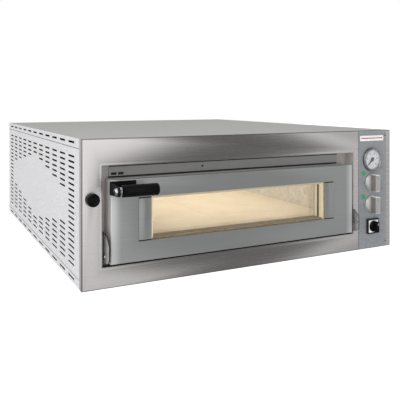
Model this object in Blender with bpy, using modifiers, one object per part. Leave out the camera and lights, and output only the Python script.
"""Countertop electric pizza oven: one baking chamber behind a drop-down glass door.

Metres, +Z up, the front faces -Y. The origin is the middle of the casing's plan, on the surface
that the oven stands on. Places are worked out from the casing's left edge, its front face and its base.
"""

import math

import bmesh
import bpy
from mathutils import Matrix, Vector

# ---- Driving sizes -------------------------------------------------------------------------
CASING_WIDTH = 1.085
CASING_DEPTH = 1.240
CASING_HEIGHT = 0.400
SHEET = 0.0015
GAP = 0.0003

# Casing sheets
FASCIA_RETURN = 0.022
TOP_RAIL = 0.026
BASE_RAIL = 0.024
SLOT_LENGTH = 0.067
SLOT_HEIGHT = 0.0057
SLOT_COLUMNS = 11
SLOT_ROWS = 20
SLOT_END_MARGIN = 0.0870
SLOT_EDGE_MARGIN = 0.0265
SHORTEST_SLOT_STACK = 3
STEAM_SLOT_MARGIN = 0.018
STEAM_SLOT_LENGTH = 0.045
STEAM_SLOT_WIDTH = 0.010
STEAM_SLOT_SPACING = 0.300
REAR_VENT_MARGIN = 0.150
REAR_VENT_LENGTH = 0.120
REAR_VENT_HEIGHT = 0.006
GLAND_FROM_RIGHT = 0.100
GLAND_HEIGHT = 0.062

# Recess behind the door
RECESS_LEFT_MARGIN = 0.0555
CONTROL_WIDTH = 0.1664
RECESS_BASE = 0.053
RECESS_TOP_MARGIN = 0.073
RECESS_DEPTH = 0.0395
HEADER_HEIGHT = 0.0280
HEADER_BELOW_RECESS_TOP = 0.0045
HEADER_THICKNESS = 0.006
HEADER_LEFT_MARGIN = 0.0290
HEADER_RIGHT_MARGIN = 0.0416

# Door
DOOR_SIDE_CHANNEL = 0.0185
DOOR_BASE_CLEARANCE = 0.013
DOOR_TOP_CLEARANCE = 0.0375
DOOR_PROUD = 0.017
DOOR_THICKNESS = 0.050
DOOR_FRAME_SIDE = 0.078
DOOR_FRAME_BASE = 0.054
DOOR_FRAME_TOP = 0.0495
WINDOW_COVER_WIDTH = 0.038
GLASS = 0.004
GLASS_SETBACK = 0.0045
GASKET_WALL = 0.008
LINER_LIP = 0.006
SEAL_CLEARANCE = 0.0007
SEAL_WIDTH = 0.011
HINGE_ABOVE_DOOR_BASE = 0.019
HINGE_PIN_RADIUS = 0.005
EAR_THICKNESS = 0.003
EAR_FROM_RECESS_SIDE = 0.0065
EAR_REACH = 0.037
EAR_ROUND = 0.022
EAR_TOP = 0.065
EAR_SHOULDER = 0.056
EAR_NOSE = 0.036
EAR_BELOW_PIVOT = 0.015
SPRING_RADIUS = 0.0085
SPRING_WIRE = 0.0018
SPRING_TURNS = 3
SPRING_TAIL = 0.019

# Handle
HANDLE_FROM_DOOR_LEFT = 0.004
HANDLE_PLATE_LENGTH = 0.074
HANDLE_SHEET = 0.003
HANDLE_DEPTH_FROM_DOOR = 0.083
HANDLE_HEIGHT = 0.036
HANDLE_TIP_HEIGHT = 0.024
HANDLE_BELOW_DOOR_TOP = 0.002
GRIP_RADIUS = 0.0158
GRIP_END_ROUND = 0.006
GRIP_LENGTH = 0.100
GRIP_FROM_ARM = 0.009
GRIP_FROM_DOOR = 0.064
STUD_RADIUS = 0.005
STUD_COLLAR_RADIUS = 0.0115
STUD_WASHER_RADIUS = 0.0095
STUD_WASHER = 0.0015
STUD_HEAD_RADIUS = 0.0075
STUD_HEAD = 0.005

# Baking chamber
CHAMBER_INSET = 0.0445
STONE_TOP = 0.118
STONE = 0.015
STONE_LEDGE = 0.010
MOUTH_BELOW_RECESS_TOP = 0.062
CHAMBER_FLOOR = 0.068
REAR_ZONE = 0.120
INSULATION = 0.053
INSULATION_TOP = 0.075
LAMP_HOLE = 0.028
LAMP_CUP_RADIUS = 0.0275
LAMP_CUP_WALL = 0.002
LAMP_CUP_DEPTH = 0.034
LAMP_FLANGE = 0.004
LAMP_FROM_RIGHT_WALL = 0.120
ELEMENT_RADIUS = 0.004
ELEMENT_RUNS = 6
ELEMENT_MARGIN = 0.070
UPPER_ELEMENT_DROP = 0.013
LOWER_ELEMENT_RISE = 0.014

# Steam damper
DAMPER_FROM_LEFT = 0.028
DAMPER_HEIGHT = 0.240
DAMPER_ROD_RADIUS = 0.003
DAMPER_KNOB_RADIUS = 0.0175
DAMPER_KNOB_DEPTH = 0.0155
DAMPER_KNOB_ROUND = 0.004
DAMPER_NECK_RADIUS = 0.009
DAMPER_NECK = 0.003
DUCT_FROM_REAR = 0.260
DUCT_LENGTH = 0.044
DUCT_HEIGHT = 0.036
DUCT_CENTRE_HEIGHT = 0.220
GATE_OVERLAP = 0.008

# Controls, from the casing's right edge and base
CONTROL_FROM_RIGHT = 0.085
LABEL_WIDTH = 0.1235
LABEL_FROM_RIGHT = 0.0195
LABEL_EDGE = 0.004
LABEL = 0.0010
GAUGE_BELOW_TOP = 0.099
GAUGE_RADIUS = 0.039
GAUGE_BODY_RADIUS = 0.034
GAUGE_PROUD = 0.009
GAUGE_BEZEL = 0.006
GAUGE_GLASS = 0.0015
NEEDLE_LENGTH = 0.024
NEEDLE_TAIL = 0.007
NEEDLE_WIDTH = 0.0018
NEEDLE_HUB_RADIUS = 0.004
GAUGE_BODY_DEPTH = 0.024
NEEDLE_TILT = 135
UPPER_LAMP_HEIGHT = 0.256
UPPER_KNOB_HEIGHT = 0.223
LOWER_LAMP_HEIGHT = 0.177
LOWER_KNOB_HEIGHT = 0.149
SWITCH_HEIGHT = 0.076
LAMP_OFFSET = 0.038
LAMP_RADIUS = 0.0075
LAMP_BODY = 0.022
LAMP_FLANGE_WIDTH = 0.0015
KNOB_RADIUS = 0.030
KNOB_SKIRT = 0.006
KNOB_GRIP = 0.024
KNOB_GRIP_WIDTH = 0.017
KNOB_SHAFT_RADIUS = 0.004
KNOB_CROWN = 0.003
THERMOSTAT_HOLE = 0.0055
THERMOSTAT_WIDTH = 0.048
THERMOSTAT_HEIGHT = 0.044
THERMOSTAT_DEPTH = 0.042
THERMOSTAT_STANDOFF = 0.004
SWITCH_FRAME = 0.050
SWITCH_PROUD = 0.008
SWITCH_BODY = 0.036
SWITCH_MECHANISM_DEPTH = 0.050
SWITCH_KNOB_RADIUS = 0.0185
SWITCH_KNOB_SKIRT = 0.007
SWITCH_BAR_WIDTH = 0.013
SWITCH_BAR_DEPTH = 0.022
GLAND_RADIUS = 0.0125
GLAND_NUT_RADIUS = 0.017
GLAND_NUT = 0.008
GLAND_TAIL = 0.030
GLAND_BACK = 0.014
CABLE_RADIUS = 0.006
CONTACTOR_WIDTH = 0.070
CONTACTOR_FROM_FRONT = 0.300
CONTACTOR_LENGTH = 0.080
CONTACTOR_HEIGHT = 0.050
CONTACTOR_STEP = 0.030

# ---- Places worked out from the driving sizes ----------------------------------------------
left = -CASING_WIDTH / 2
right = CASING_WIDTH / 2
front = -CASING_DEPTH / 2
rear = CASING_DEPTH / 2
sides_front = front + FASCIA_RETURN + GAP
recess_left = left + RECESS_LEFT_MARGIN
recess_right = right - CONTROL_WIDTH
recess_top = CASING_HEIGHT - RECESS_TOP_MARGIN
recess_back = front + RECESS_DEPTH
door_left = recess_left + DOOR_SIDE_CHANNEL
door_right = recess_right - DOOR_SIDE_CHANNEL
door_base = RECESS_BASE + DOOR_BASE_CLEARANCE
door_top = recess_top - DOOR_TOP_CLEARANCE
door_front = front - DOOR_PROUD
door_back = door_front + DOOR_THICKNESS
door_split = (door_front + door_back) / 2
hinge_height = door_base + HINGE_ABOVE_DOOR_BASE
inset_left = door_left + DOOR_FRAME_SIDE
inset_right = door_right - DOOR_FRAME_SIDE
inset_base = door_base + DOOR_FRAME_BASE
inset_top = door_top - DOOR_FRAME_TOP
glass_left = inset_left + WINDOW_COVER_WIDTH
glass_right = inset_right - WINDOW_COVER_WIDTH
chamber_left = recess_left + CHAMBER_INSET
chamber_right = recess_right - CHAMBER_INSET
chamber_middle = (chamber_left + chamber_right) / 2
chamber_front = recess_back + SHEET + GAP
chamber_rear = rear - REAR_ZONE
mouth_top = recess_top - MOUTH_BELOW_RECESS_TOP
control_x = right - CONTROL_FROM_RIGHT
damper_x = left + DAMPER_FROM_LEFT
duct_y = rear - DUCT_FROM_REAR
gauge_height = CASING_HEIGHT - GAUGE_BELOW_TOP
ear_left = recess_left + EAR_FROM_RECESS_SIDE
ear_right = recess_right - EAR_FROM_RECESS_SIDE
label_front = front - GAP - LABEL

FORWARD = (math.pi / 2, 0, 0)
BACKWARD = (-math.pi / 2, 0, 0)
RIGHTWARD = (0, math.pi / 2, 0)
SIDE_ON = (math.pi / 2, 0, math.pi / 2)
BEYOND = 0.01

for leftover in list(bpy.data.objects):
    bpy.data.objects.remove(leftover)

PARTS = bpy.data.collections.new("pizza_oven")
CUTTERS = bpy.data.collections.new("cutters")
for collection in (PARTS, CUTTERS):
    bpy.context.scene.collection.children.link(collection)
CUTTERS.hide_render = True


# ---- Helpers -------------------------------------------------------------------------------
def finish(name, colour, roughness, metallic=0.0, alpha=1.0):
    """A Principled finish."""
    made = bpy.data.materials.new(name)
    made.use_nodes = True
    shader = made.node_tree.nodes["Principled BSDF"]
    shader.inputs["Base Color"].default_value = (*colour, 1)
    shader.inputs["Roughness"].default_value = roughness
    shader.inputs["Metallic"].default_value = metallic
    shader.inputs["Alpha"].default_value = alpha
    return made


def piece(name, data, coat, place=(0, 0, 0), turn=(0, 0, 0)):
    """A named part of the oven."""
    made = bpy.data.objects.new(name, data)
    PARTS.objects.link(made)
    made.location = place
    made.rotation_euler = turn
    data.materials.append(coat)
    return made


def helper(name, data, place=(0, 0, 0), turn=(0, 0, 0)):
    """A shape that cuts or extends a part, and is not a part itself."""
    made = bpy.data.objects.new(name, data)
    CUTTERS.objects.link(made)
    made.location = place
    made.rotation_euler = turn
    made.hide_render = True
    made.display_type = "WIRE"
    return made


def boxes(name, spans, origin=(0, 0, 0)):
    """One mesh of closed boxes, each a pair of corners, measured from origin."""
    shape = bmesh.new()
    for low, high in spans:
        low, high = Vector(low), Vector(high)
        middle = (low + high) / 2 - Vector(origin)
        bmesh.ops.create_cube(shape, size=1, matrix=Matrix.LocRotScale(middle, None, high - low))
    mesh = bpy.data.meshes.new(name)
    shape.to_mesh(mesh)
    shape.free()
    return mesh


def box(name, low, high, coat):
    """A box part, placed by its middle."""
    middle = (Vector(low) + Vector(high)) / 2
    return piece(name, boxes(name, [(low, high)], middle), coat, middle)


def rod_mesh(name, radius, length, segments=24):
    """A cylinder along its own Z, centred."""
    shape = bmesh.new()
    bmesh.ops.create_cone(
        shape, cap_ends=True, segments=segments, radius1=radius, radius2=radius, depth=length
    )
    mesh = bpy.data.meshes.new(name)
    shape.to_mesh(mesh)
    shape.free()
    mesh.shade_smooth()
    mesh.set_sharp_from_angle(angle=math.radians(40))
    return mesh


def turned(name, profile, coat, place, turn, steps=24):
    """A turned part: (radius, height) points from the top down the outer side, spun about its own Z."""
    mesh = bpy.data.meshes.new(name)
    edges = [(i, i + 1) for i in range(len(profile) - 1)]
    if profile[0][0] > 0:
        edges.append((len(profile) - 1, 0))
    mesh.from_pydata([(radius, 0, height) for radius, height in profile], edges, [])
    made = piece(name, mesh, coat, place, turn)
    spin = made.modifiers.new("turn", "SCREW")
    spin.steps = steps
    spin.render_steps = steps
    spin.use_merge_vertices = True
    spin.merge_threshold = 0.00001
    return made


def tube(name, points, radius, coat, place=(0, 0, 0), turn=(0, 0, 0)):
    """A bent round wire or tube through the points."""
    curve = bpy.data.curves.new(name, "CURVE")
    curve.dimensions = "3D"
    curve.bevel_depth = radius
    curve.bevel_resolution = 1
    curve.use_fill_caps = True
    path = curve.splines.new("POLY")
    path.points.add(len(points) - 1)
    for spot, where in zip(path.points, points):
        spot.co = (*where, 1)
    return piece(name, curve, coat, place, turn)


def outline(name, loops, thickness, coat, place, turn):
    """A flat plate: its outer loop first, then its holes."""
    curve = bpy.data.curves.new(name, "CURVE")
    curve.dimensions = "2D"
    curve.fill_mode = "BOTH"
    curve.extrude = thickness / 2
    for loop in loops:
        path = curve.splines.new("POLY")
        path.use_cyclic_u = True
        path.points.add(len(loop) - 1)
        for spot, (x, y) in zip(path.points, loop):
            spot.co = (x, y, 0, 1)
    return piece(name, curve, coat, place, turn)


def arc(centre, radius, start, end, count):
    """Points on an arc, in degrees."""
    angles = [math.radians(start + (end - start) * i / (count - 1)) for i in range(count)]
    return [
        (centre[0] + radius * math.cos(a), centre[1] + radius * math.sin(a)) for a in angles
    ]


def shape_with(part, tool, operation):
    """Cuts the tool's shape from a part, or joins it on, and carries the tool with the part."""
    tool.parent = part
    tool.matrix_parent_inverse = part.matrix_basis.inverted()
    step = part.modifiers.new(tool.name, "BOOLEAN")
    step.operation = operation
    step.object = tool


def cut(part, spans, name="opening"):
    """Cuts boxes from a part."""
    shape_with(part, helper(f"{part.name}.{name}", boxes(name, spans)), "DIFFERENCE")


def add(part, spans, name="extension"):
    """Joins boxes to a part."""
    for number, span in enumerate(spans):
        tool = helper(f"{part.name}.{name}{number}", boxes(name, [span]))
        shape_with(part, tool, "UNION")


def bore(part, radius, length, place, turn, name="bore", segments=24):
    """Drills a round hole along the turned tool's own Z."""
    tool = helper(f"{part.name}.{name}", rod_mesh(name, radius, length, segments), place, turn)
    shape_with(part, tool, "DIFFERENCE")


def joint_axis(name, place):
    """An empty on a joint's axis, which the moving parts hang from."""
    made = bpy.data.objects.new(name, None)
    PARTS.objects.link(made)
    made.location = place
    return made


def hang(parts, axis):
    """Parents parts to a joint's empty, where they are."""
    for part in parts:
        part.parent = axis
        part.matrix_parent_inverse = axis.matrix_basis.inverted()


STAINLESS = finish("brushed_stainless", (0.55, 0.55, 0.54), 0.32, 1)
GALVANISED = finish("galvanised_sheet", (0.62, 0.63, 0.62), 0.5, 0.8)
ALUMINISED = finish("aluminised_steel", (0.6, 0.56, 0.48), 0.45, 0.8)
CORDIERITE = finish("cordierite", (0.72, 0.58, 0.4), 0.85)
WOOL = finish("mineral_wool", (0.5, 0.42, 0.26), 0.95)
ELEMENT = finish("heater_sheath", (0.12, 0.11, 0.1), 0.5, 0.8)
PHENOLIC = finish("black_phenolic", (0.012, 0.012, 0.013), 0.25)
POWDER_BLACK = finish("black_powder_coat", (0.02, 0.02, 0.021), 0.5)
CHROME = finish("chromed_steel", (0.75, 0.76, 0.77), 0.1, 1)
GLAZING = finish("ceramic_glass", (0.95, 0.93, 0.88), 0.05, 0, 0.3)
FIBRE = finish("fibreglass_seal", (0.78, 0.72, 0.58), 0.9)
KNOB_GREY = finish("silver_grey_plastic", (0.42, 0.42, 0.42), 0.4, 0.3)
FILM = finish("grey_label_film", (0.24, 0.26, 0.27), 0.5)
LENS_GREEN = finish("green_lens", (0.03, 0.45, 0.15), 0.2)
NEEDLE = finish("black_needle", (0.01, 0.01, 0.01), 0.4)
NYLON = finish("black_nylon", (0.03, 0.03, 0.03), 0.5)


# ---- Casing --------------------------------------------------------------------------------
def slot_columns():
    """Middles of the slot columns along the sides."""
    first = sides_front + SLOT_END_MARGIN
    pitch = (rear - SLOT_END_MARGIN - first) / (SLOT_COLUMNS - 1)
    return [first + pitch * column for column in range(SLOT_COLUMNS)]


def slot_rows():
    """Middles of the slot rows on a side panel, from the bottom."""
    first = BASE_RAIL + SLOT_EDGE_MARGIN
    pitch = (CASING_HEIGHT - TOP_RAIL - SLOT_EDGE_MARGIN - first) / (SLOT_ROWS - 1)
    return [first + pitch * row for row in range(SLOT_ROWS)]


def slot(side, y, z, length=SLOT_LENGTH):
    """A slot through the left (-1) or right (+1) wall."""
    wall = side * CASING_WIDTH / 2
    reach = SHEET + BEYOND
    half = length / 2
    low = (wall - reach, y - half, z - SLOT_HEIGHT / 2)
    high = (wall + reach, y + half, z + SLOT_HEIGHT / 2)
    return low, high


def side_slots(side):
    """The side panel's slots: full columns at both ends, and a blank hexagon in the middle."""
    columns, rows = slot_columns(), slot_rows()
    middle = (SLOT_COLUMNS - 1) // 2
    spans = []
    for column, y in enumerate(columns):
        stack = SHORTEST_SLOT_STACK + abs(column - middle)
        if column in (0, SLOT_COLUMNS - 1):
            stack = SLOT_ROWS
        for row, z in enumerate(rows):
            if row < stack or row >= SLOT_ROWS - stack:
                spans.append(slot(side, y, z))
    return spans


def casing():
    base = box("base_pan", (left, sides_front, 0), (right, rear, BASE_RAIL), GALVANISED)
    cut(
        base,
        [((left + SHEET, sides_front - BEYOND, SHEET), (right - SHEET, rear - SHEET, 2 * BASE_RAIL))],
        "tray",
    )
    rail = BASE_RAIL / 2
    cut(base, [slot(side, y, rail) for side in (-1, 1) for y in slot_columns()], "slots")

    cover_base = CASING_HEIGHT - TOP_RAIL
    cover = box("top_cover", (left, sides_front, cover_base), (right, rear, CASING_HEIGHT), GALVANISED)
    inside_low = (left + SHEET, sides_front - BEYOND, cover_base - BEYOND)
    cut(cover, [(inside_low, (right - SHEET, rear - SHEET, CASING_HEIGHT - SHEET))], "inside")
    rail = CASING_HEIGHT - TOP_RAIL / 2
    cut(cover, [slot(side, y, rail) for side in (-1, 1) for y in slot_columns()], "slots")
    steam_slots = []
    for y in (duct_y + STEAM_SLOT_SPACING / 4, duct_y - 3 * STEAM_SLOT_SPACING / 4):
        low = (left + STEAM_SLOT_MARGIN, y - STEAM_SLOT_WIDTH / 2, CASING_HEIGHT - BEYOND)
        far = left + STEAM_SLOT_MARGIN + STEAM_SLOT_LENGTH
        steam_slots.append((low, (far, y + STEAM_SLOT_WIDTH / 2, CASING_HEIGHT + BEYOND)))
    cut(cover, steam_slots, "steam_slots")

    for name, side in (("side_panel_left", -1), ("side_panel_right", 1)):
        outer = side * CASING_WIDTH / 2
        inner = outer - side * SHEET
        low = (min(outer, inner), sides_front, BASE_RAIL + GAP)
        high = (max(outer, inner), rear, CASING_HEIGHT - TOP_RAIL - GAP)
        panel = box(name, low, high, GALVANISED)
        cut(panel, side_slots(side), "slots")

    edge = SHEET + GAP
    low = (left + edge, rear - SHEET, BASE_RAIL + GAP)
    high = (right - edge, rear, CASING_HEIGHT - TOP_RAIL - GAP)
    back = box("rear_panel", low, high, GALVANISED)
    vents = []
    for side in (-1, 1):
        for row in slot_rows()[4:16:2]:
            x = side * (CASING_WIDTH / 2 - REAR_VENT_MARGIN)
            low = (x - REAR_VENT_LENGTH / 2, rear - BEYOND, row - REAR_VENT_HEIGHT / 2)
            high = (x + REAR_VENT_LENGTH / 2, rear + BEYOND, row + REAR_VENT_HEIGHT / 2)
            vents.append((low, high))
    cut(back, vents, "vents")
    place = (right - GLAND_FROM_RIGHT, rear, GLAND_HEIGHT)
    bore(back, GLAND_RADIUS + GAP, 4 * BEYOND, place, FORWARD, "gland_hole")


def control_openings():
    """Boxes and holes that both the fascia and its label share: (name, radius, height, sideways)."""
    return [
        ("gauge_hole", GAUGE_BODY_RADIUS + GAP, gauge_height, 0),
        ("upper_lamp_hole", LAMP_RADIUS - LAMP_FLANGE_WIDTH + GAP, UPPER_LAMP_HEIGHT, -LAMP_OFFSET),
        ("upper_knob_hole", THERMOSTAT_HOLE, UPPER_KNOB_HEIGHT, 0),
        ("lower_lamp_hole", LAMP_RADIUS - LAMP_FLANGE_WIDTH + GAP, LOWER_LAMP_HEIGHT, -LAMP_OFFSET),
        ("lower_knob_hole", THERMOSTAT_HOLE, LOWER_KNOB_HEIGHT, 0),
    ]


def open_for_controls(part):
    for name, radius, height, sideways in control_openings():
        bore(part, radius, 4 * BEYOND, (control_x + sideways, front, height), FORWARD, name)
    half = SWITCH_BODY / 2 + GAP
    low = (control_x - half, front - 2 * BEYOND, SWITCH_HEIGHT - half)
    cut(part, [(low, (control_x + half, front + 2 * BEYOND, SWITCH_HEIGHT + half))], "switch_hole")


def front_panel():
    fascia = box("front_fascia", (left, front, 0), (right, front + FASCIA_RETURN, CASING_HEIGHT), STAINLESS)
    low = (left + SHEET, front + SHEET, SHEET)
    high = (right - SHEET, front + FASCIA_RETURN + BEYOND, CASING_HEIGHT - SHEET)
    cut(fascia, [(low, high)], "inside")
    low = (recess_left, front - BEYOND, RECESS_BASE)
    cut(fascia, [(low, (recess_right, front + BEYOND, recess_top))], "door_opening")
    open_for_controls(fascia)
    way = (damper_x, front, DAMPER_HEIGHT)
    bore(fascia, DAMPER_ROD_RADIUS + 2 * GAP, 4 * BEYOND, way, FORWARD, "rod_hole")

    low = (recess_left - SHEET, front + SHEET + GAP, RECESS_BASE - SHEET)
    high = (recess_right + SHEET, recess_back + SHEET, recess_top + SHEET)
    surround = box("door_surround", low, high, STAINLESS)
    low = (recess_left, front - BEYOND, RECESS_BASE)
    cut(surround, [(low, (recess_right, recess_back, recess_top))], "recess")
    low = (chamber_left, front, STONE_TOP)
    cut(surround, [(low, (chamber_right, recess_back + BEYOND, mouth_top))], "mouth")

    header_top = recess_top - HEADER_BELOW_RECESS_TOP
    box(
        "door_header",
        (recess_left + HEADER_LEFT_MARGIN, recess_back - GAP - HEADER_THICKNESS, header_top - HEADER_HEIGHT),
        (recess_right - HEADER_RIGHT_MARGIN, recess_back - GAP, header_top),
        STAINLESS,
    )
    high = (right - LABEL_FROM_RIGHT, front - GAP, CASING_HEIGHT - LABEL_EDGE)
    label = box("control_label", (high[0] - LABEL_WIDTH, label_front, LABEL_EDGE), high, FILM)
    open_for_controls(label)


# ---- Baking chamber ------------------------------------------------------------------------
def serpentine(height):
    """A heating element's path: straight runs front to back, joined by half-round bends."""
    first = chamber_left + ELEMENT_MARGIN
    last = chamber_right - ELEMENT_MARGIN
    pitch = (last - first) / (ELEMENT_RUNS - 1)
    near = chamber_front + ELEMENT_MARGIN + pitch / 2
    far = chamber_rear - ELEMENT_MARGIN - pitch / 2
    points = [(first, chamber_rear - BEYOND, height)]
    for run in range(ELEMENT_RUNS - 1):
        forward = run % 2 == 0
        centre = (first + pitch * (run + 0.5), near if forward else far)
        bend = arc(centre, pitch / 2, 180, 360 if forward else 0, 7)
        points += [(x, y, height) for x, y in bend]
    points.append((last, chamber_rear - BEYOND, height))
    return points


def chamber():
    wall_base = CHAMBER_FLOOR + SHEET + GAP
    ledge_top = STONE_TOP - STONE - GAP
    floor = box(
        "chamber_floor",
        (chamber_left - SHEET, chamber_front, CHAMBER_FLOOR),
        (chamber_right + SHEET, chamber_rear + SHEET, CHAMBER_FLOOR + SHEET),
        ALUMINISED,
    )
    rib = (chamber_middle - 0.5 * SHEET, chamber_front, CHAMBER_FLOOR)
    add(floor, [(rib, (chamber_middle + 0.5 * SHEET, chamber_front + 0.02, ledge_top))], "front_rib")
    rib = (chamber_middle - 0.5 * SHEET, chamber_rear - 0.03, CHAMBER_FLOOR)
    add(floor, [(rib, (chamber_middle + 0.5 * SHEET, chamber_rear - 0.01, ledge_top))], "rear_rib")

    duct_span = (
        (chamber_left - BEYOND, duct_y - DUCT_LENGTH / 2, DUCT_CENTRE_HEIGHT - DUCT_HEIGHT / 2),
        (chamber_left + BEYOND, duct_y + DUCT_LENGTH / 2, DUCT_CENTRE_HEIGHT + DUCT_HEIGHT / 2),
    )
    for name, inner, side in (
        ("chamber_left_wall", chamber_left, -1),
        ("chamber_right_wall", chamber_right, 1),
    ):
        outer = inner + side * SHEET
        ledge = inner - side * STONE_LEDGE
        low = (min(inner, outer), chamber_front, wall_base)
        wall = box(name, low, (max(inner, outer), chamber_rear, mouth_top), ALUMINISED)
        low = (min(outer, ledge), chamber_front, ledge_top - SHEET)
        add(wall, [(low, (max(outer, ledge), chamber_rear, ledge_top))], "ledge")
        if side < 0:
            cut(wall, [duct_span], "vent")

    low = (chamber_left - SHEET, chamber_rear + GAP, wall_base)
    high = (chamber_right + SHEET, chamber_rear + GAP + SHEET, mouth_top)
    back = box("chamber_rear_wall", low, high, ALUMINISED)
    lamp = (chamber_right - LAMP_FROM_RIGHT_WALL, chamber_rear, (STONE_TOP + mouth_top) / 2)
    bore(back, LAMP_HOLE, 4 * BEYOND, lamp, FORWARD, "lamp_hole")
    low = (chamber_left - SHEET, chamber_front, mouth_top + GAP)
    high = (chamber_right + SHEET, chamber_rear + SHEET + GAP, mouth_top + GAP + SHEET)
    box("chamber_ceiling", low, high, ALUMINISED)

    stone_front = chamber_front + GAP
    stone_rear = chamber_rear - GAP
    stone_length = (stone_rear - stone_front - GAP) / 2
    for column, inner in enumerate((chamber_left + GAP, chamber_middle + GAP)):
        width = chamber_middle - GAP - (chamber_left + GAP)
        for row in range(2):
            y = stone_front + row * (stone_length + GAP)
            name = f"hearth_stone_{'left' if column == 0 else 'right'}_{'front' if row == 0 else 'rear'}"
            low = (inner, y, STONE_TOP - STONE)
            box(name, low, (inner + width, y + stone_length, STONE_TOP), CORDIERITE)

    tube("heating_element_upper", serpentine(mouth_top - UPPER_ELEMENT_DROP), ELEMENT_RADIUS, ELEMENT)
    tube("heating_element_lower", serpentine(CHAMBER_FLOOR + LOWER_ELEMENT_RISE), ELEMENT_RADIUS, ELEMENT)

    place = (lamp[0], chamber_rear + LAMP_FLANGE, lamp[2])
    turned("chamber_lamp", lamp_profile(), NYLON, place, FORWARD)
    rim = LAMP_CUP_RADIUS - LAMP_CUP_WALL - 0.001
    glass = [(0, LAMP_FLANGE + 0.0005), (rim, LAMP_FLANGE + 0.0005), (rim, 0.0015), (0, 0.0015)]
    turned("chamber_lamp_glass", glass, GLAZING, place, FORWARD)
    return lamp


def lamp_profile():
    """The lamp: a cup with the bulb standing in it."""
    inside = LAMP_CUP_RADIUS - LAMP_CUP_WALL
    floor = -LAMP_CUP_DEPTH + 2 * LAMP_CUP_WALL
    bulb = [(0, -0.004), (0.007, -0.006), (0.010, -0.012), (0.008, -0.020), (0.006, floor)]
    cup = [
        (inside, floor),
        (inside, LAMP_FLANGE),
        (LAMP_CUP_RADIUS, LAMP_FLANGE),
        (LAMP_CUP_RADIUS, -LAMP_CUP_DEPTH),
        (0, -LAMP_CUP_DEPTH),
    ]
    return bulb + cup


def insulation(lamp):
    outer_left = chamber_left - SHEET - GAP - INSULATION
    outer_right = chamber_right + SHEET + GAP + INSULATION
    near = chamber_front + GAP
    far = chamber_rear + SHEET + 2 * GAP + INSULATION
    clearance = SHEET + GAP
    sides_top = mouth_top + 2 * GAP + SHEET
    low = (outer_left, near, CHAMBER_FLOOR)
    wrap = box("insulation_sides", low, (outer_right, far, sides_top), WOOL)
    low = (chamber_left - clearance, near - BEYOND, 0)
    high = (chamber_right + clearance, chamber_rear + SHEET + 2 * GAP, CASING_HEIGHT)
    cut(wrap, [(low, high)], "chamber")
    half_y = DUCT_LENGTH / 2 + SHEET + GAP
    half_z = DUCT_HEIGHT / 2 + SHEET + GAP
    low = (outer_left - BEYOND, duct_y - half_y, DUCT_CENTRE_HEIGHT - half_z)
    high = (chamber_left, duct_y + half_y, DUCT_CENTRE_HEIGHT + half_z)
    cut(wrap, [(low, high)], "duct_way")
    way = (lamp[0], chamber_rear + INSULATION, lamp[2])
    bore(wrap, LAMP_HOLE + 0.002, 4 * INSULATION, way, FORWARD, "lamp_way")
    low = (outer_left, near, sides_top + GAP)
    box("insulation_top", low, (outer_right, far, sides_top + GAP + INSULATION_TOP), WOOL)
    low = (outer_left, near, SHEET + GAP)
    box("insulation_base", low, (outer_right, far, CHAMBER_FLOOR - GAP), WOOL)


# ---- Steam damper --------------------------------------------------------------------------
def damper():
    half_y = DUCT_LENGTH / 2
    half_z = DUCT_HEIGHT / 2
    duct_mouth = damper_x + DAMPER_ROD_RADIUS
    low = (duct_mouth, duct_y - half_y - SHEET, DUCT_CENTRE_HEIGHT - half_z - SHEET)
    high = (chamber_left - SHEET - GAP, duct_y + half_y + SHEET, DUCT_CENTRE_HEIGHT + half_z + SHEET)
    duct = box("steam_duct", low, high, ALUMINISED)
    low = (duct_mouth - BEYOND, duct_y - half_y, DUCT_CENTRE_HEIGHT - half_z)
    high = (chamber_left + BEYOND, duct_y + half_y, DUCT_CENTRE_HEIGHT + half_z)
    cut(duct, [(low, high)], "passage")

    gate_near = duct_y - half_y - SHEET - GATE_OVERLAP / 2
    gate_far = duct_y + half_y + SHEET + GATE_OVERLAP / 2
    gate_base = DUCT_CENTRE_HEIGHT - half_z - SHEET - GATE_OVERLAP / 2
    gate_top = max(
        DUCT_CENTRE_HEIGHT + half_z + SHEET + GATE_OVERLAP / 2, DAMPER_HEIGHT + DAMPER_ROD_RADIUS
    )
    gate_x = duct_mouth - SHEET - 2 * GAP
    low = (gate_x, gate_near, gate_base)
    gate = box("damper_gate", low, (gate_x + SHEET, gate_far, gate_top), ALUMINISED)

    neck_back = front - 0.002
    corner = (DAMPER_KNOB_RADIUS - DAMPER_KNOB_ROUND, DAMPER_KNOB_DEPTH - DAMPER_KNOB_ROUND)
    profile = [(0, DAMPER_KNOB_DEPTH), *arc(corner, DAMPER_KNOB_ROUND, 90, 0, 5)]
    profile += [(DAMPER_KNOB_RADIUS, DAMPER_NECK), (DAMPER_NECK_RADIUS, DAMPER_NECK)]
    profile += [(DAMPER_NECK_RADIUS, 0), (0, 0)]
    knob = turned("damper_knob", profile, PHENOLIC, (damper_x, neck_back, DAMPER_HEIGHT), FORWARD)
    length = gate_near - GAP - (neck_back + GAP)
    middle = (damper_x, neck_back + GAP + length / 2, DAMPER_HEIGHT)
    rod = piece("damper_rod", rod_mesh("damper_rod", DAMPER_ROD_RADIUS, length, 16), CHROME, middle, FORWARD)
    hang([gate, knob, rod], joint_axis("damper_slide_axis", (damper_x, front, DAMPER_HEIGHT)))


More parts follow.
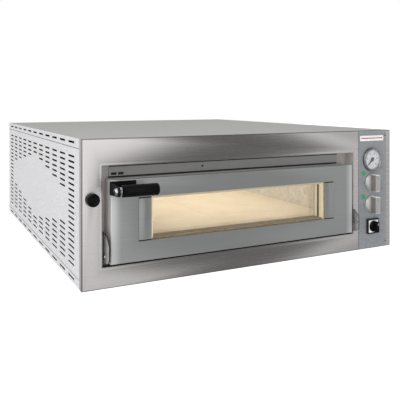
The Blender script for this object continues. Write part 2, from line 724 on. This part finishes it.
# ---- Controls ------------------------------------------------------------------------------
def gauge():
    place = (control_x, front, gauge_height)
    body = GAUGE_BODY_RADIUS
    case = [
        (GAUGE_RADIUS - GAUGE_BEZEL, GAUGE_PROUD + LABEL),
        (GAUGE_RADIUS - 0.002, GAUGE_PROUD + LABEL),
        (GAUGE_RADIUS, GAUGE_PROUD - 0.002),
        (GAUGE_RADIUS, LABEL + 2 * GAP),
        (body, LABEL + 2 * GAP),
        (body, -GAUGE_BODY_DEPTH),
        (0, -GAUGE_BODY_DEPTH),
    ]
    dial_height = GAUGE_PROUD - GAUGE_BEZEL
    floor = [(0, dial_height), (GAUGE_RADIUS - GAUGE_BEZEL, dial_height)]
    turned("gauge_case", floor + case, CHROME, place, FORWARD, 32)
    glass_front = GAUGE_PROUD + LABEL - 0.0005
    rim = GAUGE_RADIUS - GAUGE_BEZEL - GAP
    glass_back = glass_front - GAUGE_GLASS
    profile = [(0, glass_front), (rim, glass_front), (rim, glass_back), (0, glass_back)]
    turned("gauge_glass", profile, GLAZING, place, FORWARD, 32)
    needle_back = front - (dial_height + GAUGE_GLASS)
    hub = [(0, 0.0012), (NEEDLE_HUB_RADIUS, 0.0012), (NEEDLE_HUB_RADIUS, 0), (0, 0)]
    needle = turned("gauge_needle", hub, NEEDLE, (control_x, needle_back, gauge_height), FORWARD, 16)
    half = NEEDLE_WIDTH / 2
    blade = [((-NEEDLE_TAIL, -half, 0.0001), (NEEDLE_LENGTH, half, 0.0009))]
    pointer = helper(
        "gauge_needle.pointer",
        boxes("pointer", blade),
        (control_x, needle_back, gauge_height),
        (math.pi / 2, math.radians(NEEDLE_TILT), 0),
    )
    shape_with(needle, pointer, "UNION")
    hang([needle], joint_axis("gauge_needle_axis", place))


def thermostat(level, height):
    """One deck's thermostat: its body behind the fascia, and the knob that turns in front."""
    half_x = THERMOSTAT_WIDTH / 2
    half_z = THERMOSTAT_HEIGHT / 2
    low = (control_x - half_x, front + SHEET + THERMOSTAT_STANDOFF, height - half_z)
    high = (control_x + half_x, front + THERMOSTAT_DEPTH, height + half_z)
    box(f"thermostat_body_{level}", low, high, NYLON)
    back = label_front - GAP
    shaft = back - (front + SHEET + THERMOSTAT_STANDOFF - GAP)
    depth = KNOB_SKIRT + KNOB_GRIP
    profile = [
        (0, KNOB_SKIRT + KNOB_CROWN),
        (KNOB_RADIUS - 0.008, KNOB_SKIRT + 0.002),
        (KNOB_RADIUS - 0.001, KNOB_SKIRT - 0.002),
        (KNOB_RADIUS, 0),
        (KNOB_SHAFT_RADIUS, 0),
        (KNOB_SHAFT_RADIUS, shaft),
        (0, shaft),
    ]
    place = (control_x, back, height)
    knob = turned(f"thermostat_knob_{level}", profile, KNOB_GREY, place, FORWARD)
    half = KNOB_GRIP_WIDTH / 2
    reach = math.sqrt(KNOB_RADIUS**2 - half**2) - 2 * GAP
    grip = boxes("grip", [((-half, -reach, 0.001), (half, reach, depth))])
    shape_with(knob, helper(f"{knob.name}.grip", grip, place, FORWARD), "UNION")
    hang([knob], joint_axis(f"thermostat_{level}_axis", place))


def main_switch():
    half = SWITCH_FRAME / 2
    frame_back = label_front - GAP
    low = (control_x - half, frame_back - SWITCH_PROUD, SWITCH_HEIGHT - half)
    body = box("main_switch_body", low, (control_x + half, frame_back, SWITCH_HEIGHT + half), NYLON)
    half = SWITCH_BODY / 2
    low = (control_x - half, frame_back - 0.002, SWITCH_HEIGHT - half)
    high = (control_x + half, front + SWITCH_MECHANISM_DEPTH, SWITCH_HEIGHT + half)
    add(body, [(low, high)], "mechanism")
    place = (control_x, frame_back - SWITCH_PROUD - GAP, SWITCH_HEIGHT)
    radius, skirt = SWITCH_KNOB_RADIUS, SWITCH_KNOB_SKIRT
    profile = [(0, skirt), (radius - 0.002, skirt), (radius, skirt - 0.002), (radius, 0), (0, 0)]
    knob = turned("main_switch_knob", profile, PHENOLIC, place, FORWARD)
    half = SWITCH_BAR_WIDTH / 2
    reach = math.sqrt(radius**2 - half**2) - 2 * GAP
    bar = boxes("bar", [((-half, -reach, 0.001), (half, reach, SWITCH_BAR_DEPTH))])
    shape_with(knob, helper("main_switch_knob.bar", bar, place, FORWARD), "UNION")
    hang([knob], joint_axis("main_switch_axis", place))


def controls():
    gauge()
    thermostat("upper", UPPER_KNOB_HEIGHT)
    thermostat("lower", LOWER_KNOB_HEIGHT)
    main_switch()
    neck = LAMP_RADIUS - LAMP_FLANGE_WIDTH
    rim = LABEL + 2 * GAP
    lens = [(0, 0.006), (0.004, 0.0055), (LAMP_RADIUS, 0.003), (LAMP_RADIUS, rim)]
    lamp = [*lens, (neck, rim), (neck, -LAMP_BODY), (0, -LAMP_BODY)]
    for level, height in (("upper", UPPER_LAMP_HEIGHT), ("lower", LOWER_LAMP_HEIGHT)):
        place = (control_x - LAMP_OFFSET, front, height)
        turned(f"indicator_lamp_{level}", lamp, LENS_GREEN, place, FORWARD, 20)
    shelf = SHEET + GAP
    half = CONTACTOR_WIDTH / 2
    near = front + CONTACTOR_FROM_FRONT
    far = near + CONTACTOR_LENGTH
    top = shelf + CONTACTOR_HEIGHT
    contactor = box("contactor", (control_x - half, near, shelf), (control_x + half, far, top), NYLON)
    margin = CONTACTOR_LENGTH / 4
    low = (control_x - half, near + margin, top - BEYOND)
    high = (control_x + half, far - margin, top + CONTACTOR_STEP)
    add(contactor, [(low, high)], "step")
    sleeve = CABLE_RADIUS + 0.005
    gland = [
        (CABLE_RADIUS, GLAND_TAIL),
        (sleeve, GLAND_TAIL),
        (sleeve, GLAND_NUT),
        (GLAND_NUT_RADIUS, GLAND_NUT),
        (GLAND_NUT_RADIUS, GAP),
        (GLAND_RADIUS, GAP),
        (GLAND_RADIUS, -GLAND_BACK),
        (CABLE_RADIUS, -GLAND_BACK),
    ]
    place = (right - GLAND_FROM_RIGHT, rear, GLAND_HEIGHT)
    turned("cable_gland", gland, NYLON, place, BACKWARD, 18)


# ---- Door ----------------------------------------------------------------------------------
def door_parts():
    low = (door_left, door_front, door_base)
    skin = box("door_outer_skin", low, (door_right, door_split - GAP / 2, door_top), STAINLESS)
    edge = SHEET
    low = (door_left + edge, door_front + edge, door_base + edge)
    cut(skin, [(low, (door_right - edge, door_split + BEYOND, door_top - edge))], "inside")
    low = (inset_left, door_front - BEYOND, inset_base)
    cut(skin, [(low, (inset_right, door_front + BEYOND / 2, inset_top))], "window")

    low = (door_left, door_split + GAP / 2, door_base)
    liner = box("door_inner_liner", low, (door_right, door_back, door_top), STAINLESS)
    low = (door_left + edge, door_split - BEYOND, door_base + edge)
    cut(liner, [(low, (door_right - edge, door_back - edge, door_top - edge))], "inside")
    low = (glass_left + LINER_LIP, door_split, inset_base + LINER_LIP)
    cut(liner, [(low, (glass_right - LINER_LIP, door_back + BEYOND, inset_top - LINER_LIP))], "window")

    edge = SHEET + GAP
    low = (door_left + edge, door_front + edge, door_base + edge)
    core = box("door_insulation", low, (door_right - edge, door_back - edge, door_top - edge), WOOL)
    low = (glass_left - GAP, door_front - BEYOND, inset_base - GAP)
    cut(core, [(low, (glass_right + GAP, door_back + BEYOND, inset_top + GAP))], "window")

    parts = [skin, liner, core]
    cover_front = door_front + 0.0004
    for name, x0, x1 in (
        ("window_cover_left", inset_left + GAP, glass_left - GAP),
        ("window_cover_right", glass_right + GAP, inset_right - GAP),
    ):
        high = (x1, door_front + SHEET, inset_top - GAP)
        parts.append(box(name, (x0, cover_front, inset_base + GAP), high, STAINLESS))

    outer_back = door_front + GLASS_SETBACK + GLASS
    inner_back = door_back - SHEET - GAP
    inner_front = inner_back - GLASS
    for name, y0, y1 in (
        ("door_glass_outer", outer_back - GLASS, outer_back),
        ("door_glass_inner", inner_front, inner_back),
    ):
        parts.append(box(name, (glass_left, y0, inset_base), (glass_right, y1, inset_top), GLAZING))
    low = (glass_left, outer_back + GAP, inset_base)
    gasket = box("glass_gasket", low, (glass_right, inner_front - GAP, inset_top), FIBRE)
    wall = GASKET_WALL
    low = (glass_left + wall, door_front, inset_base + wall)
    cut(gasket, [(low, (glass_right - wall, door_back, inset_top - wall))], "sight")
    parts.append(gasket)
    return parts


def door_seal():
    """The rope seal round the chamber's mouth, which the closed door meets."""
    out = SEAL_WIDTH
    low = (chamber_left - out, door_back + SEAL_CLEARANCE, STONE_TOP - out)
    seal = box("door_seal", low, (chamber_right + out, recess_back - GAP, mouth_top + out), FIBRE)
    low = (chamber_left, front, STONE_TOP)
    cut(seal, [(low, (chamber_right, recess_back + BEYOND, mouth_top))], "mouth")


def handle():
    arm_left = door_left - HANDLE_FROM_DOOR_LEFT
    top = door_top - HANDLE_BELOW_DOOR_TOP
    back = door_front - GAP
    low = (arm_left, back - HANDLE_SHEET, top - HANDLE_HEIGHT)
    bracket = box("handle_bracket", low, (arm_left + HANDLE_PLATE_LENGTH, back, top), POWDER_BLACK)
    tip = back - HANDLE_DEPTH_FROM_DOOR
    arm = boxes("arm", [((arm_left, tip, top - HANDLE_HEIGHT), (arm_left + HANDLE_SHEET, back, top))])
    narrowing = (HANDLE_HEIGHT - HANDLE_TIP_HEIGHT) / 2
    middle = top - HANDLE_HEIGHT / 2
    for corner in arm.vertices:
        if corner.co.y < tip + GAP:
            corner.co.z += narrowing if corner.co.z < middle else -narrowing
    shape_with(bracket, helper("handle_bracket.arm", arm), "UNION")
    grip_y = door_front - GRIP_FROM_DOOR
    spot = (arm_left + HANDLE_SHEET / 2, grip_y, middle)
    bore(bracket, STUD_RADIUS + GAP, 3 * BEYOND, spot, RIGHTWARD, "stud_hole", 20)

    inner = HANDLE_SHEET / 2 + GAP
    collar_end = GRIP_FROM_ARM + HANDLE_SHEET / 2
    stud = [
        (0, collar_end),
        (STUD_COLLAR_RADIUS, collar_end),
        (STUD_COLLAR_RADIUS, inner),
        (STUD_RADIUS, inner),
        (STUD_RADIUS, -inner),
        (STUD_WASHER_RADIUS, -inner),
        (STUD_WASHER_RADIUS, -inner - STUD_WASHER),
        (STUD_HEAD_RADIUS, -inner - STUD_HEAD - 0.0005),
        (0, -inner - STUD_WASHER - STUD_HEAD),
    ]
    bolt = turned("handle_stud", stud, CHROME, spot, RIGHTWARD, 20)
    round_end = arc((GRIP_RADIUS - GRIP_END_ROUND, 0), GRIP_END_ROUND, 90, 0, 4)
    start = collar_end + GAP
    grip = [(0, start + GRIP_LENGTH)]
    grip += [(r, start + GRIP_LENGTH - GRIP_END_ROUND + h) for r, h in round_end]
    grip += [(GRIP_RADIUS, start + 0.001), (GRIP_RADIUS - 0.001, start), (0, start)]
    bar = turned("handle_grip", grip, PHENOLIC, spot, RIGHTWARD)
    return [bracket, bolt, bar]


def hinges():
    """A fixed ear, a pin on the door and a torsion spring at each side."""
    pins = []
    pivot = (front, hinge_height)
    ear_front = front - EAR_REACH
    ear_back = recess_back - GAP
    low_corner = (ear_front + EAR_ROUND, hinge_height - EAR_BELOW_PIVOT + EAR_ROUND)
    shape = [
        (ear_back, hinge_height + EAR_TOP),
        (door_front, hinge_height + EAR_SHOULDER),
        (ear_front, hinge_height + EAR_NOSE),
        *arc(low_corner, EAR_ROUND, 180, 270, 6),
        (ear_back, hinge_height - EAR_BELOW_PIVOT - 0.004),
    ]
    hole = arc(pivot, HINGE_PIN_RADIUS + 1.2 * GAP, 0, -337.5, 16)
    shape = [(y - pivot[0], z - pivot[1]) for y, z in shape]
    hole = [(y - pivot[0], z - pivot[1]) for y, z in hole]
    for name, side, inner_edge, door_side in (
        ("left", -1, ear_left + EAR_THICKNESS, door_left),
        ("right", 1, ear_right - EAR_THICKNESS, door_right),
    ):
        middle = inner_edge + side * EAR_THICKNESS / 2
        outline(f"hinge_ear_{name}", [shape, hole], EAR_THICKNESS, STAINLESS, (middle, *pivot), SIDE_ON)
        pin_in = door_side + side * GAP
        pin_out = inner_edge + side * (EAR_THICKNESS + 0.002)
        mesh = rod_mesh("pin", HINGE_PIN_RADIUS, abs(pin_out - pin_in), 16)
        pins.append(piece(f"hinge_pin_{name}", mesh, CHROME, ((pin_in + pin_out) / 2, *pivot), RIGHTWARD))
        start = inner_edge - side * (SPRING_WIRE / 2 + 2 * GAP)
        travel = abs(door_side - inner_edge) - SPRING_WIRE - 4 * GAP
        points = []
        steps = 12 * SPRING_TURNS
        for step in range(steps + 1):
            angle = 2 * math.pi * step / 12
            x = -side * travel * step / steps
            points.append((x, SPRING_RADIUS * math.sin(angle), SPRING_RADIUS * math.cos(angle)))
        points.insert(0, (0, -SPRING_TAIL, SPRING_RADIUS))
        points.append((points[-1][0], SPRING_TAIL, SPRING_RADIUS))
        tube(f"door_spring_{name}", points, SPRING_WIRE / 2, CHROME, (start, *pivot))
    return pins


def door():
    moving = door_parts() + handle() + hinges()
    door_seal()
    hang(moving, joint_axis("door_hinge_axis", ((door_left + door_right) / 2, front, hinge_height)))


casing()
front_panel()
insulation(chamber())
damper()
controls()
door()
